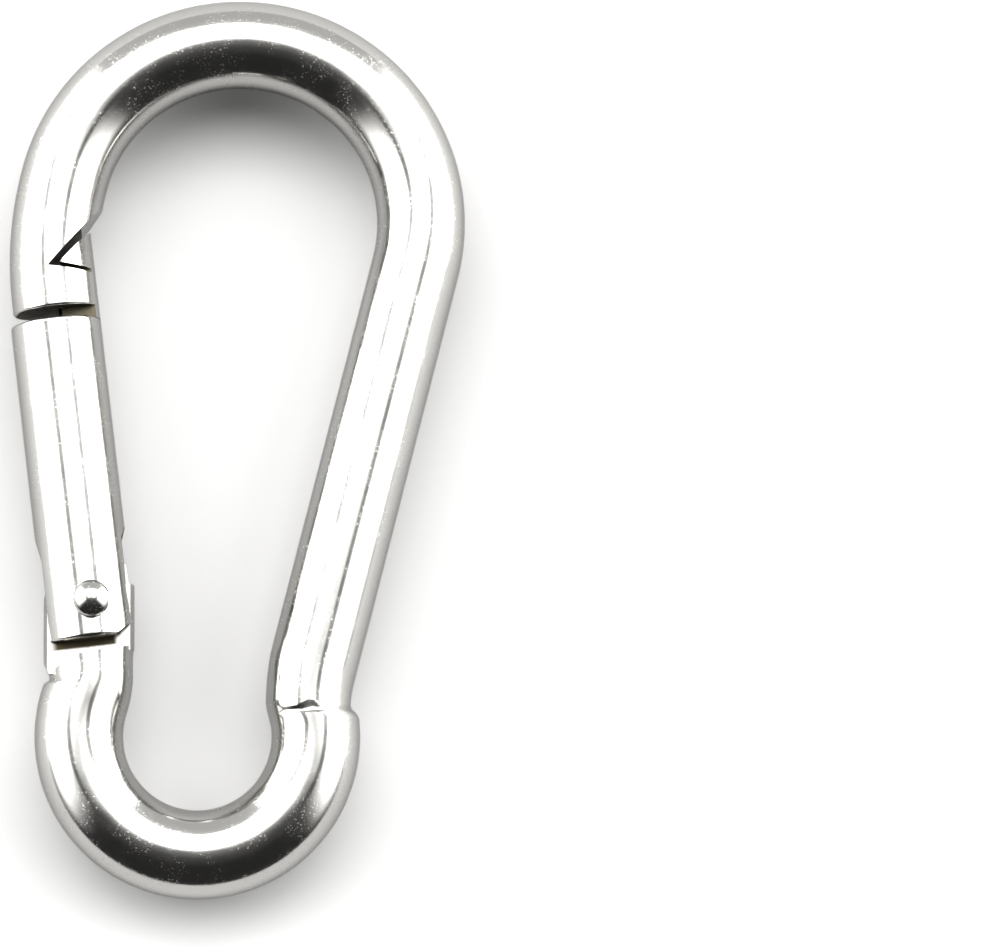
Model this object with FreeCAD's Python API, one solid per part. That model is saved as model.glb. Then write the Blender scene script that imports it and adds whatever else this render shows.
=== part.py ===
"""Spring snap hook bent from polished round bar, lying flat.

The bar runs from a slotted nose round a wide crown bow, down a slanting arm, round a small toe bow
and up into a flat tongue. A round gate is riveted to the tongue, and its latch head closes into a
notch in the nose. A spring and a domed plunger inside the gate press on a cam edge on top of the
tongue and push the gate shut.

Lengths are millimetres and angles degrees. The hook is worked out flat in a plan whose centre is
the crown's centre: +Y points at the crown, +X away from the gate. The gate has a plan of its own,
with its shoulder's middle at zero, +Y along the gate to the nose and +X to the inside of the hook.
"""
import FreeCAD, Part
import os
from math import acos, atan2, cos, degrees, hypot, radians, sin, tan

V = FreeCAD.Vector
UP = V(0, 0, 1)

# Bent bar
overall_length = 80.0
bar_d = 7.8
crown_r = 16.05            # centre line of the wide bow
bowl_r = 10.4              # centre line of the small bow at the toe
bowl_offset = 3.75         # toe bow's centre, on the gate's side of the crown's centre
nose_bend_r = 29.2         # the bar opens to this wider bend on its way to the nose
nose_bend_from = 164.7     # place on the crown where that wider bend begins
nose_tail = 1.2            # straight length at the nose
nose_rim = 0.4             # broken edge of the nose's end

# Waists, where the arms step in before the toe bow
arm_bend_r = 20.0          # easy bend from the arm into its waist
arm_waist_lean = 3.0
arm_waist_d = 7.5
arm_waist_in = 0.61        # step sideways between waist and toe bow
arm_waist_rise = 1.95      # length of that step
arm_bow_from = 6.0         # place on the toe bow where the step ends
tongue_waist_d = 7.36
tongue_waist_in = 0.62
tongue_waist_rise = 2.6
tongue_bow_from = 163.0

# Tongue, the flattened end of the bar inside the gate's fork
tongue_w = 8.0
tongue_t = 3.3
tongue_root_d = 7.94       # round bar just below the flat
tongue_side_step = 0.2     # flat's middle, outside the waist's middle
shoulder_slope = 11.3      # the flat ends in a shoulder that slopes down to the outside
shoulder_fall = 36.5       # and falls more steeply from its turn on
shoulder_turn = 1.56       # that turn, outside the tongue's middle
shoulder_rise = 1.14       # height of the turn above the waist
corner_rise = 1.64         # inner top corner of the tongue, above the pivot
corner_in = 0.5            # and its distance from the tongue's inner edge
bend_in = 1.0              # how round the tongue's outer top corner is
foot_rise = 0.8            # height above the waist where the tongue's outer edge runs into it

# Pivot
pivot_rise = 11.7          # above the toe bow's centre
pivot_side = 0.3           # inside the tongue's middle
pivot_in_gate = 0.42       # inside the gate's own axis
pivot_to_end = 3.25        # pivot to the gate's lower end
shank_d = 3.0
running_gap = 0.05         # round the shank in the tongue
seat_gap = 0.01            # round the shank in the gate, and under the heads
head_d = 3.26
head_stand = 1.35          # height of a rivet head above the gate

# Gate
gate_d = 8.0
nose_gap = 0.95            # nose to gate shoulder
gate_shift = 0.25          # gate's axis, outside the nose's axis
gate_rim = 0.3             # broken edge of the gate's ends
fork_gap = 0.1             # each side of the tongue
fork_end_gap = 0.45        # tongue's cam to the end of the fork slot
fork_end_slant = 10.4
fork_flare = 0.45          # how far in the slot's ends are eased at the bar's surface
fork_flare_length = 2.3
heel_from = 2.05           # chamfer on the inner lower corner, from the gate's axis
heel_slope = 33.0
open_angle = 43.0          # the latch head then all but touches the arm

# Latch: the head closes into the nose's notch, the neck lies in the nose's slot
notch_height = 3.7         # tip of the notch above the nose's end
notch_depth = 0.35         # tip beyond the nose's axis
notch_top_slope = 43.0
notch_floor_slope = 12.4
latch_top_gap = 0.62
latch_floor_gap = 0.4
neck_t = 3.2
neck_from = 0.7            # the neck's outer edge, inside the gate's axis
neck_side_gap = 0.15       # neck to each wall of the slot
neck_back_gap = 0.3        # neck to the floor of the slot

# Spring and plunger in the gate's bore
plunger_d = 3.2
plunger_gap = 0.1          # round the plunger in its bore
plunger_length = 4.2
plunger_seat = 5.0         # pivot to the middle of the plunger's dome
plunger_lift = 0.9         # how far the cam pushes the plunger as the gate opens
cam_gap = 0.08             # dome to cam
spring_wire_d = 0.45
spring_side_gap = 0.12     # coil to bore
spring_pitch = 2.8
bore_wall = 3.0            # solid end left between the bore and the gate's shoulder

bar_r, gate_r = bar_d / 2, gate_d / 2
fork_w = tongue_t + 2 * fork_gap
slot_w = neck_t + 2 * neck_side_gap
far = 2 * gate_d           # long enough to cut right through the bar


def polar(centre, radius, angle):
    a = radians(angle)
    return V(centre.x + radius * cos(a), centre.y + radius * sin(a), 0)


def heading(lean):
    """Direction of a bar that runs down, leaning this far from straight down towards -X."""
    return V(-sin(radians(lean)), -cos(radians(lean)), 0)


def disc(centre, direction, diameter):
    return Part.Wire([Part.makeCircle(diameter / 2, centre, direction)])


def arc(centre, radius, start, end):
    middle = polar(centre, radius, (start + end) / 2)
    return Part.Arc(polar(centre, radius, start), middle, polar(centre, radius, end)).toShape()


def line(a, b):
    return Part.LineSegment(a, b).toShape()


def plate(points, thickness):
    """Flat plate with straight edges, half its thickness to each side of the plan."""
    wire = Part.makePolygon(points + points[:1])
    wire.translate(UP * (-thickness / 2))
    return Part.Face(wire).extrude(UP * thickness)


# Places on the bent bar
crown_c = V(0, 0, 0)
bowl_c = V(-bowl_offset, crown_r + bowl_r + bar_d - overall_length, 0)

arm_bow = polar(bowl_c, bowl_r, arm_bow_from)
arm_waist = arm_bow + V(-arm_waist_in, arm_waist_rise, 0)
arm_bend_c = arm_waist - heading(arm_waist_lean).cross(UP) * arm_bend_r
arm_tangent = degrees(atan2(arm_bend_c.y, arm_bend_c.x)
                      + acos((crown_r + arm_bend_r) / hypot(arm_bend_c.x, arm_bend_c.y)))
arm_lean = -arm_tangent
arm_top = polar(crown_c, crown_r, arm_tangent)
arm_end = polar(arm_bend_c, arm_bend_r, 180 + arm_tangent)

tongue_bow = polar(bowl_c, bowl_r, tongue_bow_from)
tongue_waist = tongue_bow + V(tongue_waist_in, tongue_waist_rise, 0)
tongue_x = tongue_waist.x - tongue_side_step
pivot = V(tongue_x + pivot_side, bowl_c.y + pivot_rise, 0)

# The gate's axis touches a circle round the nose bend's centre and passes the pivot
nose_bend_c = polar(crown_c, crown_r - nose_bend_r, nose_bend_from)
to_pivot = pivot - nose_bend_c
reach = nose_bend_r + gate_shift - pivot_in_gate
gate_lean = degrees(atan2(to_pivot.y, to_pivot.x) - acos(reach / to_pivot.Length)) + 180
nose_end = polar(nose_bend_c, nose_bend_r, 180 + gate_lean) + heading(-gate_lean) * nose_tail
gate_in = V(cos(radians(gate_lean)), sin(radians(gate_lean)), 0)
gate_top = nose_end + heading(-gate_lean) * nose_gap - gate_in * gate_shift
gate_place = FreeCAD.Placement(gate_top, FreeCAD.Rotation(UP, gate_lean))
pivot_in_plan = gate_place.inverse().multVec(pivot)
gate_length = pivot_to_end - pivot_in_plan.y
dome_seat = V(0, pivot_in_plan.y + plunger_seat, 0)
bore_end = -bore_wall
cam_reach = plunger_seat + plunger_lift - plunger_d / 2 - cam_gap
fork_end = V(0, pivot_in_plan.y + cam_reach + fork_end_gap, 0)
notch_tip = V(gate_shift - notch_depth, nose_gap + notch_height, 0)

# The origin is the middle of the bounding box, at the surface that the hook lies on
left = nose_bend_c.x - nose_bend_r - bar_r
right = crown_r + bar_r
lying = gate_r + head_stand
to_origin = V(-(left + right) / 2, overall_length / 2 - crown_r - bar_r, lying)


def crown_and_arm():
    """Nose, crown bow and straight arm: one sweep with a broken edge at the nose."""
    nose_bend_end = polar(nose_bend_c, nose_bend_r, 180 + gate_lean)
    spine = Part.Wire([
        line(nose_end, nose_bend_end),
        arc(nose_bend_c, nose_bend_r, 180 + gate_lean, nose_bend_from),
        arc(crown_c, crown_r, nose_bend_from, arm_tangent),
        line(arm_top, arm_end),
    ])
    bar = spine.makePipe(Part.Face(disc(nose_end, heading(-gate_lean), bar_d)))
    rim = [e for e in bar.Edges if e.CenterOfMass.distanceToPoint(nose_end) < nose_rim]
    return bar.makeChamfer(nose_rim, rim)


def tapered_bend():
    """Easy bend from the arm into its waist, thinning to the waist."""
    spine = Part.Wire([arc(arm_bend_c, arm_bend_r, 180 + arm_tangent, 180 - arm_waist_lean)])
    sweep = Part.BRepOffsetAPI.MakePipeShell(spine)
    sweep.add(disc(arm_end, heading(arm_lean), bar_d))
    sweep.add(disc(arm_waist, heading(arm_waist_lean), arm_waist_d))
    sweep.build()
    sweep.makeSolid()
    return sweep.shape()


def toe_bow():
    """Small bow with the two steps that lead into it."""
    spine = Part.Wire([arc(bowl_c, bowl_r, arm_bow_from, tongue_bow_from - 360)])
    arm_disc = disc(arm_bow, heading(-arm_bow_from), bar_d)
    tongue_disc = disc(tongue_bow, heading(180 - tongue_bow_from), bar_d)
    bow = spine.makePipe(Part.Face(arm_disc))
    arm_step = Part.makeLoft([disc(arm_waist, heading(arm_waist_lean), arm_waist_d), arm_disc], True, True)
    tongue_step = Part.makeLoft([tongue_disc, disc(tongue_waist, heading(0), tongue_waist_d)], True, True)
    return [bow, arm_step, tongue_step]


def shoulder():
    """Line where the flat ends: from the waist's outer side to its turn, and on past the inner side."""
    turn = V(tongue_x - shoulder_turn, tongue_waist.y + shoulder_rise, 0)
    low = V(turn.x - shoulder_rise / tan(radians(shoulder_fall)), tongue_waist.y, 0)
    high = turn + V(tongue_w, tongue_w * tan(radians(shoulder_slope)), 0)
    return [low, turn, high]


def tongue_root():
    """Round bar between the waist and the shoulder, cut to the shoulder's line."""
    low, turn, high = shoulder()
    root = Part.makeLoft([disc(tongue_waist, heading(0), tongue_waist_d),
                          disc(V(tongue_x, high.y, 0), heading(0), tongue_root_d)], True, True)
    outside = low.x - tongue_w
    above = plate([low, turn, high, V(high.x, pivot.y, 0), V(outside, pivot.y, 0), V(outside, low.y, 0)], far)
    return root.cut(above)


def dome_at(turn):
    """Middle of the plunger's dome, in the hook's plan, with the gate open by this angle."""
    lift = plunger_lift * turn / open_angle
    arm = gate_place.multVec(dome_seat + V(0, lift, 0)) - pivot
    return pivot + FreeCAD.Rotation(UP, -turn).multVec(arm)


def cam_point(turn):
    """Point of the cam edge under the dome: the dome's path, moved in by the dome and the gap."""
    small = 0.5
    path = dome_at(turn + small) - dome_at(turn - small)
    return dome_at(turn) + path.cross(UP).normalize() * (plunger_d / 2 + cam_gap)


def tongue():
    """Tongue milled flat from the round bar, with the cam on top, and the tool for its pivot hole."""
    outside, inside = tongue_x - tongue_w / 2, tongue_x + tongue_w / 2
    turns = [open_angle * i / 8 for i in range(-1, 10)]
    cam = Part.BSplineCurve()
    cam.interpolate([cam_point(turn) for turn in turns])
    wide = V(tongue_w, 0, 0)
    bend = V(outside + bend_in, cam.StartPoint.y - bend_in, 0)
    corner = V(inside - corner_in, pivot.y + corner_rise, 0)
    corner_low = V(inside, corner.y - corner_in, 0) + wide / 2
    low, turn, high = shoulder()
    root_out = V(tongue_waist.x - tongue_waist_d / 2, tongue_waist.y, 0)
    foot_out = V(outside, tongue_waist.y + foot_rise, 0)
    outline = Part.Wire([
        line(foot_out - wide, V(outside, pivot.y, 0) - wide),
        line(V(outside, pivot.y, 0) - wide, V(outside, pivot.y, 0)),
        Part.Arc(V(outside, pivot.y, 0), bend, cam.StartPoint).toShape(),
        cam.toShape(),
        line(cam.EndPoint, corner),
        line(corner, corner_low),
        line(corner_low, high),
        line(high, turn),
        line(turn, low),
        line(low, root_out),
        line(root_out, foot_out),
        line(foot_out, foot_out - wide),
    ])
    outline.translate(UP * (-tongue_t / 2))
    stock = Part.makeCylinder(tongue_w / 2, pivot_rise, V(tongue_x, tongue_waist.y - 1, 0), V(0, 1, 0))
    hole = Part.makeCylinder(shank_d / 2 + running_gap, far, pivot - UP * (far / 2), UP)
    return Part.Face(outline).extrude(UP * tongue_t).common(stock), hole


def notch_face(height, slope, offset):
    """Two ends of a notch face, moved by offset square to itself, in the gate's plan."""
    a = radians(slope)
    start = notch_tip + V(-sin(a), cos(a), 0) * offset
    return start, start + V(cos(a), sin(a), 0) * height


def latch_corner():
    """Outer corner of the latch head, where its two faces meet."""
    up, down = radians(notch_top_slope), radians(-notch_floor_slope)
    top, _ = notch_face(far, notch_top_slope, -latch_top_gap)
    floor, _ = notch_face(far, -notch_floor_slope, latch_floor_gap)
    run = ((floor.x - top.x) * sin(up) - (floor.y - top.y) * cos(up)) / sin(down - up)
    return floor + V(cos(down), sin(down), 0) * run


def nose_cuts():
    """Notch for the latch head and slot for its neck."""
    _, top = notch_face(far, notch_top_slope, 0)
    _, floor = notch_face(far, -notch_floor_slope, 0)
    notch = plate([notch_tip, floor, V(floor.x, top.y, 0), top], far)
    back = neck_from - neck_back_gap
    slot = plate([V(back, -far, 0), V(far, -far, 0), V(far, notch_tip.y, 0), V(back, notch_tip.y, 0)],
                 slot_w)
    cuts = notch.fuse(slot)
    cuts.Placement = gate_place
    return cuts


def hook_body():
    flat, hole = tongue()
    bar = crown_and_arm().cut(nose_cuts())
    return bar.fuse([tapered_bend(), tongue_root(), flat] + toe_bow()).cut(hole)


def latch():
    """Neck and latch head left standing on the gate's round end."""
    corner = latch_corner()
    top = corner + V(cos(radians(notch_top_slope)), sin(radians(notch_top_slope)), 0) * far
    floor = corner + V(cos(radians(notch_floor_slope)), -sin(radians(notch_floor_slope)), 0) * far
    head = plate([corner, floor, V(far, top.y, 0), top], gate_d)
    neck = plate([V(neck_from, -gate_rim, 0), V(gate_d, -gate_rim, 0), V(gate_d, corner.y, 0),
                  V(neck_from, corner.y, 0)], neck_t)
    stock = Part.makeCylinder(gate_r, far, V(0, -gate_rim, 0), V(0, 1, 0))
    return head.fuse(neck).common(stock)


def fork_slot():
    """Slot for the tongue, its end slanting and eased where it meets the bar's surface."""
    def end_y(x):
        return fork_end.y + x * tan(radians(fork_end_slant))
    inner, outer = gate_r - fork_flare, -(gate_r - fork_flare)
    return plate([
        V(-far, -gate_length - 1, 0), V(-far, end_y(outer) + fork_flare_length, 0),
        V(-gate_r, end_y(outer) + fork_flare_length, 0), V(outer, end_y(outer), 0),
        V(inner, end_y(inner), 0), V(gate_r, end_y(inner) + fork_flare_length / 2, 0),
        V(far, end_y(inner) + fork_flare_length / 2, 0), V(far, -gate_length - 1, 0),
    ], fork_w)


def gate():
    bar = Part.makeCylinder(gate_r, gate_length, V(0, -gate_length, 0), V(0, 1, 0))
    bar = bar.makeChamfer(gate_rim, [e for e in bar.Edges if len(e.Vertexes) == 1])
    heel = plate([V(heel_from, -gate_length, 0),
                  V(heel_from + far, -gate_length + far * tan(radians(heel_slope)), 0),
                  V(heel_from + far, -gate_length - 1, 0), V(heel_from, -gate_length - 1, 0)], far)
    bore_start = dome_seat - V(0, plunger_d, 0)
    bore = Part.makeCylinder(plunger_d / 2 + plunger_gap, bore_end - bore_start.y, bore_start, V(0, 1, 0))
    hole = Part.makeCylinder(shank_d / 2 + seat_gap, far, pivot_in_plan - UP * (far / 2), UP)
    shape = bar.cut([heel, fork_slot(), bore, hole]).fuse(latch())
    shape.Placement = gate_place
    return shape


def pivot_rivet():
    """Shank with a domed head at each end, seated on the gate's round surface."""
    top = gate_r + head_stand
    shank = Part.makeCylinder(shank_d / 2, 2 * gate_r, pivot_in_plan - UP * gate_r, UP)
    stock = Part.makeCylinder(gate_r + seat_gap, 4 * head_d, pivot_in_plan - V(pivot_in_gate, 2 * head_d, 0),
                              V(0, 1, 0))
    skirt = Part.makeCylinder(head_d / 2, 2 * (top - head_d / 2), pivot_in_plan - UP * (top - head_d / 2), UP)
    domes = [Part.makeSphere(head_d / 2, pivot_in_plan + UP * side * (top - head_d / 2)) for side in (1, -1)]
    shape = skirt.fuse(domes).cut(stock).fuse(shank)
    shape.Placement = gate_place
    return shape


def spring_plunger():
    """Short pin with a domed end that rides on the cam."""
    pin = Part.makeCylinder(plunger_d / 2, plunger_length - plunger_d / 2, dome_seat, V(0, 1, 0))
    shape = pin.fuse(Part.makeSphere(plunger_d / 2, dome_seat))
    shape.Placement = gate_place
    return shape


def gate_spring():
    """Coil between the plunger and the end of the bore, its fine wire drawn with four flats."""
    bottom = dome_seat.y + plunger_length - plunger_d / 2 + spring_wire_d / 2 + seat_gap
    top = bore_end - spring_wire_d / 2 - seat_gap
    coil_r = plunger_d / 2 + plunger_gap - spring_side_gap - spring_wire_d / 2
    turns = max(1, round((top - bottom) / spring_pitch))
    helix = Part.makeHelix((top - bottom) / turns, top - bottom, coil_r)
    section = [V(coil_r, 0, 0) + FreeCAD.Rotation(V(0, 1, 0), 90 * i).multVec(V(spring_wire_d / 2, 0, 0))
               for i in range(5)]
    coil = Part.Wire(helix.Edges).makePipeShell([Part.makePolygon(section)], True, True)
    coil.Placement = FreeCAD.Placement(V(0, bottom, 0), FreeCAD.Rotation(V(1, 0, 0), -90))
    coil.Placement = gate_place.multiply(coil.Placement)
    return coil


def save(node, shape):
    shape = shape.copy()
    shape.translate(to_origin)
    shape.exportStep("parts/%s.step" % node)
    print(node, len(shape.Solids), round(shape.Volume, 2), shape.isValid())


os.makedirs("parts", exist_ok=True)
save("hook_body", hook_body())
save("gate", gate())
save("pivot_rivet", pivot_rivet())
save("spring_plunger", spring_plunger())
save("gate_spring", gate_spring())
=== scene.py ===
"""Polished spring snap hook: the finished look of the bent bar, its gate, rivet and spring.

The hook is worked out flat in a plan whose centre is the crown's centre, in millimetres: +Y points at
the crown and +X away from the gate. The gate has a plan of its own, with its shoulder's middle at zero
and +Y along the gate to the nose. Meshes are made in the plan and then put in the frame, in metres.
"""

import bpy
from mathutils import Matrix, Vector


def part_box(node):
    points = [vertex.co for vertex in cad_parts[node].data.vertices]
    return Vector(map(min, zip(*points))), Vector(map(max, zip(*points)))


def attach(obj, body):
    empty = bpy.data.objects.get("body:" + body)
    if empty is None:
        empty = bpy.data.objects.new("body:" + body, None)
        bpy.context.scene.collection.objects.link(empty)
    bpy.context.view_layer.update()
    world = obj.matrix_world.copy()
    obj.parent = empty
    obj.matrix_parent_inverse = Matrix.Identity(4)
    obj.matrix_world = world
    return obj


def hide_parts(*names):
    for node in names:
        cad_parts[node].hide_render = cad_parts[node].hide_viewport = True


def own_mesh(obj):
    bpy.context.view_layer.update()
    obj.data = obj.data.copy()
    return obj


bl_info = {
    "name": "Spring snap hook",
    "version": (1, 0, 0),
    "blender": (4, 5, 0),
    "location": "View3D > Sidebar > Snap hook",
    "description": "Finished look of a spring snap hook made of polished round bar",
    "category": "Object",
}

from math import acos, atan2, cos, degrees, hypot, pi, radians, sin, tan

import bmesh
import bpy
import numpy as np
from bpy.props import FloatProperty, FloatVectorProperty, IntProperty, PointerProperty
from mathutils import Matrix, Vector

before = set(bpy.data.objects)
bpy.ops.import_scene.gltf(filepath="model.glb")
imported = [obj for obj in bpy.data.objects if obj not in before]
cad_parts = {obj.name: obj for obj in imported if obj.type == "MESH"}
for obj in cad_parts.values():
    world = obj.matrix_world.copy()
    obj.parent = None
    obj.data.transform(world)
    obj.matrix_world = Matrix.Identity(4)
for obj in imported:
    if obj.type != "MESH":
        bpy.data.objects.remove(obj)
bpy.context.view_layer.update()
MM = 0.001
Z = Vector((0, 0, 1))


class BarSizes(bpy.types.PropertyGroup):
    """Sizes of the bent bar, in the plan's millimetres."""
    overall_length: FloatProperty(name="Overall length", description="From bow to bow", default=80.0)
    bar_d: FloatProperty(name="Bar", description="Diameter of the round bar", default=7.8)
    crown_r: FloatProperty(name="Crown bow", description="Centre line radius, wide bow", default=16.05)
    bowl_r: FloatProperty(name="Toe bow", description="Centre line radius, small bow", default=10.4)
    bowl_offset: FloatProperty(name="Toe offset", description="Toe bow towards the gate", default=3.75)
    sides: IntProperty(name="Sides", description="Flats drawn round the bar", default=128)


class FinishColours(bpy.types.PropertyGroup):
    """Colours of the metal and of the floor."""
    steel: FloatVectorProperty(name="Polished steel", description="Colour of the polished bar",
                               subtype="COLOR", default=(0.42, 0.415, 0.4))
    milled: FloatVectorProperty(name="Milled steel", description="Colour of the tongue's flats",
                                subtype="COLOR", default=(0.42, 0.41, 0.39))
    # Cut faces: unpolished steel, painted far darker than real steel as shade in the notch, slots, holes and at
    # the bars' cut ends
    sawn_and_shade: FloatVectorProperty(name="Sawn steel", description="Colour of the unpolished cut faces",
                              subtype="COLOR", default=(0.058, 0.052, 0.037))
    # Painted shadow: the very dark colour laid on the tongue's flat just below the gate's end, where the gap
    # falls in shade
    gate_shadow: FloatVectorProperty(name="Recess", description="Colour of the dull strip below the gate",
                                subtype="COLOR", default=(0.028, 0.024, 0.015))
    wire: FloatVectorProperty(name="Spring wire", description="Colour of the drawn wire",
                              subtype="COLOR", default=(0.5, 0.49, 0.47))
    paper: FloatVectorProperty(name="Floor", description="Colour of the pale floor",
                               subtype="COLOR", default=(0.26, 0.26, 0.26))


class StudioSizes(bpy.types.PropertyGroup):
    """Camera and light."""
    camera_tilt: FloatProperty(name="Camera tilt", description="Lean of the view towards the toe",
                               default=radians(8.2), subtype="ANGLE")
    camera_distance: FloatProperty(name="Camera distance", description="Camera to the hook",
                                   default=0.6, unit="LENGTH")
    light: FloatProperty(name="Light", description="Brightness of the light tent", default=18.0)


# Sizes that only the meshes need, in the plan's millimetres and degrees. Bar:
nose_bend_r = 29.2
nose_bend_from = 164.7
nose_tail = 1.2
nose_rim = 0.25
arm_bend_r = 20.0
arm_waist_lean = 3.0
arm_waist_d = 7.5
arm_waist_in = 0.61
arm_waist_rise = 1.95
arm_bow_from = 6.0
tongue_waist_d = 7.36
tongue_waist_in = 0.62
tongue_waist_rise = 2.6
tongue_bow_from = 163.0
loft_cuts = 24
crease_at = 1.04
crease_depth = 0.14
crease_width = 0.22
crease_turns = (68.0, 165.0)
crease_fade = 16.0
crease_blunt = 0.5
crease_blunt_at = 90.0
crease_blunt_spread = 14.0

# Tongue and its shoulder
tongue_w = 8.0
tongue_t = 3.3
tongue_root_d = 7.94
tongue_side_step = 0.2
shoulder_slope = 11.3
shoulder_fall = 36.5
shoulder_turn = 1.56
shoulder_rise = 1.14
corner_rise = 1.64
corner_in = 0.5
bend_in = 1.0
bend_parts = 12
foot_rise = 0.8
seam_clear = 0.01
plate_sink = 0.3
cam_steps = 48
cam_run_on = 6

# Rivet
pivot_rise = 11.7
pivot_side = 0.3
pivot_in_gate = 0.42
pivot_to_end = 3.25
shank_d = 3.0
running_gap = 0.05
seat_gap = 0.01
head_d = 3.26
head_stand = 1.35
dome_turn = 52.0
dome_edge = 0.18

# Gate and its fork
gate_d = 8.0
nose_gap = 0.95
gate_shift = 0.25
gate_rim = 0.3
fork_gap = 0.1
fork_end_gap = 0.45
fork_end_slant = 10.4
fork_flare = 0.45
fork_flare_length = 2.3
heel_from = 2.05
heel_slope = 33.0
open_angle = 43.0

# Notch and latch
notch_height = 3.7
notch_depth = 0.35
notch_top_slope = 43.0
notch_floor_slope = 12.4
# Length of the notch's top face, from its tip, that is painted dark as shade where the latch head hides it
notch_shade_length = 4.5
latch_top_gap = 0.62
latch_floor_gap = 0.4
neck_t = 3.2
neck_from = 0.7
neck_side_gap = 0.15
neck_back_gap = 0.3

# Plunger and spring
plunger_d = 3.2
plunger_gap = 0.1
plunger_length = 4.2
plunger_seat = 5.0
plunger_lift = 0.9
cam_gap = 0.08
spring_wire_d = 0.45
spring_side_gap = 0.12
spring_turns = 11
bore_wall = 3.0

# Flats drawn round the holes, the round stock, the rivet and its seat, and how far a cutter runs past
hole_sides = 64
stock_sides = 128
rivet_sides = 96
seat_sides = 256
sharp_angle = 32.0
past = 1.0
gate_r = gate_d / 2
far = 2 * gate_d

# Surfaces: turns of the patterns to a metre, and height of the bump in metres
speckle_scale = 5600.0
cloud_scale = 420.0
line_scale = (5200.0, 120.0, 5200.0)
relief = 0.00001
steel_tint = (0.6, 0.6, 0.6, 1)
# Painted shadow on the tongue's flat below the gate's end: how far it reaches along the gate, its fade, and its
# two side edges, in millimetres
shadow_reach = 0.55
shadow_fade = 0.25
shadow_left = (-3.9, -3.0)
shadow_right = (1.9, 2.3)

# Light: places on a level sheet one unit overhead, angles about its dark opening, and strengths
opening_tip = 0.2
opening_turns = (radians(48), radians(110))
horizon_rise = (0.03, 0.4)
horizon_turns = (radians(80), radians(110))
horizon_loss = 0.93
wall_from = (1.02, 1.14)
wall_sides = (0.78, 0.92)
wall_light = 0.95
seam_across = 0.4
seam_lean = 0.62
seam_width = (0.09, 0.15)
seam_end = (1.0, 1.1)
seam_light = 0.9
overhead_share = 0.5
overhead_reach = (0.35, 1.0)
dark_light = 0.04
dark_near = (0.08, (0.1, 0.8))
dark_top = (0.2, (0.0, 0.3))


def vec(x, y, z=0.0):
    return Vector((x, y, z))


def polar(centre, radius, angle):
    """Point at a radius and an angle in degrees about a centre."""
    a = radians(angle)
    return vec(centre.x + radius * cos(a), centre.y + radius * sin(a))


def heading(lean):
    """Direction of a bar that runs down, leaning this far from straight down towards -X."""
    return vec(-sin(radians(lean)), -cos(radians(lean)))


def smooth(u):
    return u * u * (3 - 2 * u)


class Run:
    """A stretch of centre line, straight or an arc, whose bar goes from one radius to another."""
    def __init__(self, start, end, radii, centre=None, angles=None, step=0.4):
        self.start, self.end, self.radii = start, end, radii
        self.centre, self.angles = centre, angles
        if centre is None:
            self.length = (end - start).length
        else:
            self.turn_r = (start - centre).length
            self.length = self.turn_r * abs(radians(angles[1] - angles[0]))
        self.steps = max(1, round(self.length / step))

    def shares(self):
        return np.linspace(0, 1, self.steps + 1)

    def place(self, u):
        """Points of the centre line at these shares of its length."""
        if self.centre is None:
            a, b = np.array(self.start[:2]), np.array(self.end[:2])
            return a + np.outer(u, b - a)
        turn = np.radians(self.angles[0] + u * (self.angles[1] - self.angles[0]))
        return np.array(self.centre[:2]) + self.turn_r * np.column_stack([np.cos(turn), np.sin(turn)])

    def foot(self, points):
        """Share, foot and direction of the centre line nearest to each point of the plan."""
        if self.centre is None:
            a, b = np.array(self.start[:2]), np.array(self.end[:2])
            along = (b - a) / self.length
            u = (points - a) @ along / self.length
            return u, a + np.outer(u * self.length, along), np.tile(along, (len(points), 1))
        out = points - np.array(self.centre[:2])
        turn = np.degrees(np.arctan2(out[:, 1], out[:, 0]))
        middle = sum(self.angles) / 2
        turn = middle + (turn - middle + 180) % 360 - 180
        u = (turn - self.angles[0]) / (self.angles[1] - self.angles[0])
        unit = out / np.linalg.norm(out, axis=1)[:, None]
        side = np.sign(self.angles[1] - self.angles[0])
        foot = np.array(self.centre[:2]) + unit * self.turn_r
        return u, foot, side * np.column_stack([-unit[:, 1], unit[:, 0]])

    def radius(self, u):
        a, b = self.radii
        return a + (b - a) * smooth(np.clip(u, 0, 1))

    def slope(self, u):
        """Lean of the surface along the bar. A polished bar's gentle taper doesn't show in it."""
        return 0 * u

    def way(self, u):
        """Point and direction of the centre line at this share of its length."""
        point = self.place(np.array([u]))
        return point[0], self.foot(point)[2][0]

    def fit(self, points):
        """True normals of the surface at these points, their distance from it, and from its ends."""
        u, foot, along = self.foot(points[:, :2])
        out = np.column_stack([points[:, :2] - foot, points[:, 2]])
        distance = np.linalg.norm(out, axis=1)
        normal = out / np.maximum(distance, 1e-9)[:, None]
        normal[:, :2] -= self.slope(u)[:, None] * along
        normal /= np.linalg.norm(normal, axis=1)[:, None]
        return normal, abs(distance - self.radius(u)), np.maximum(-u, u - 1) * self.length


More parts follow.
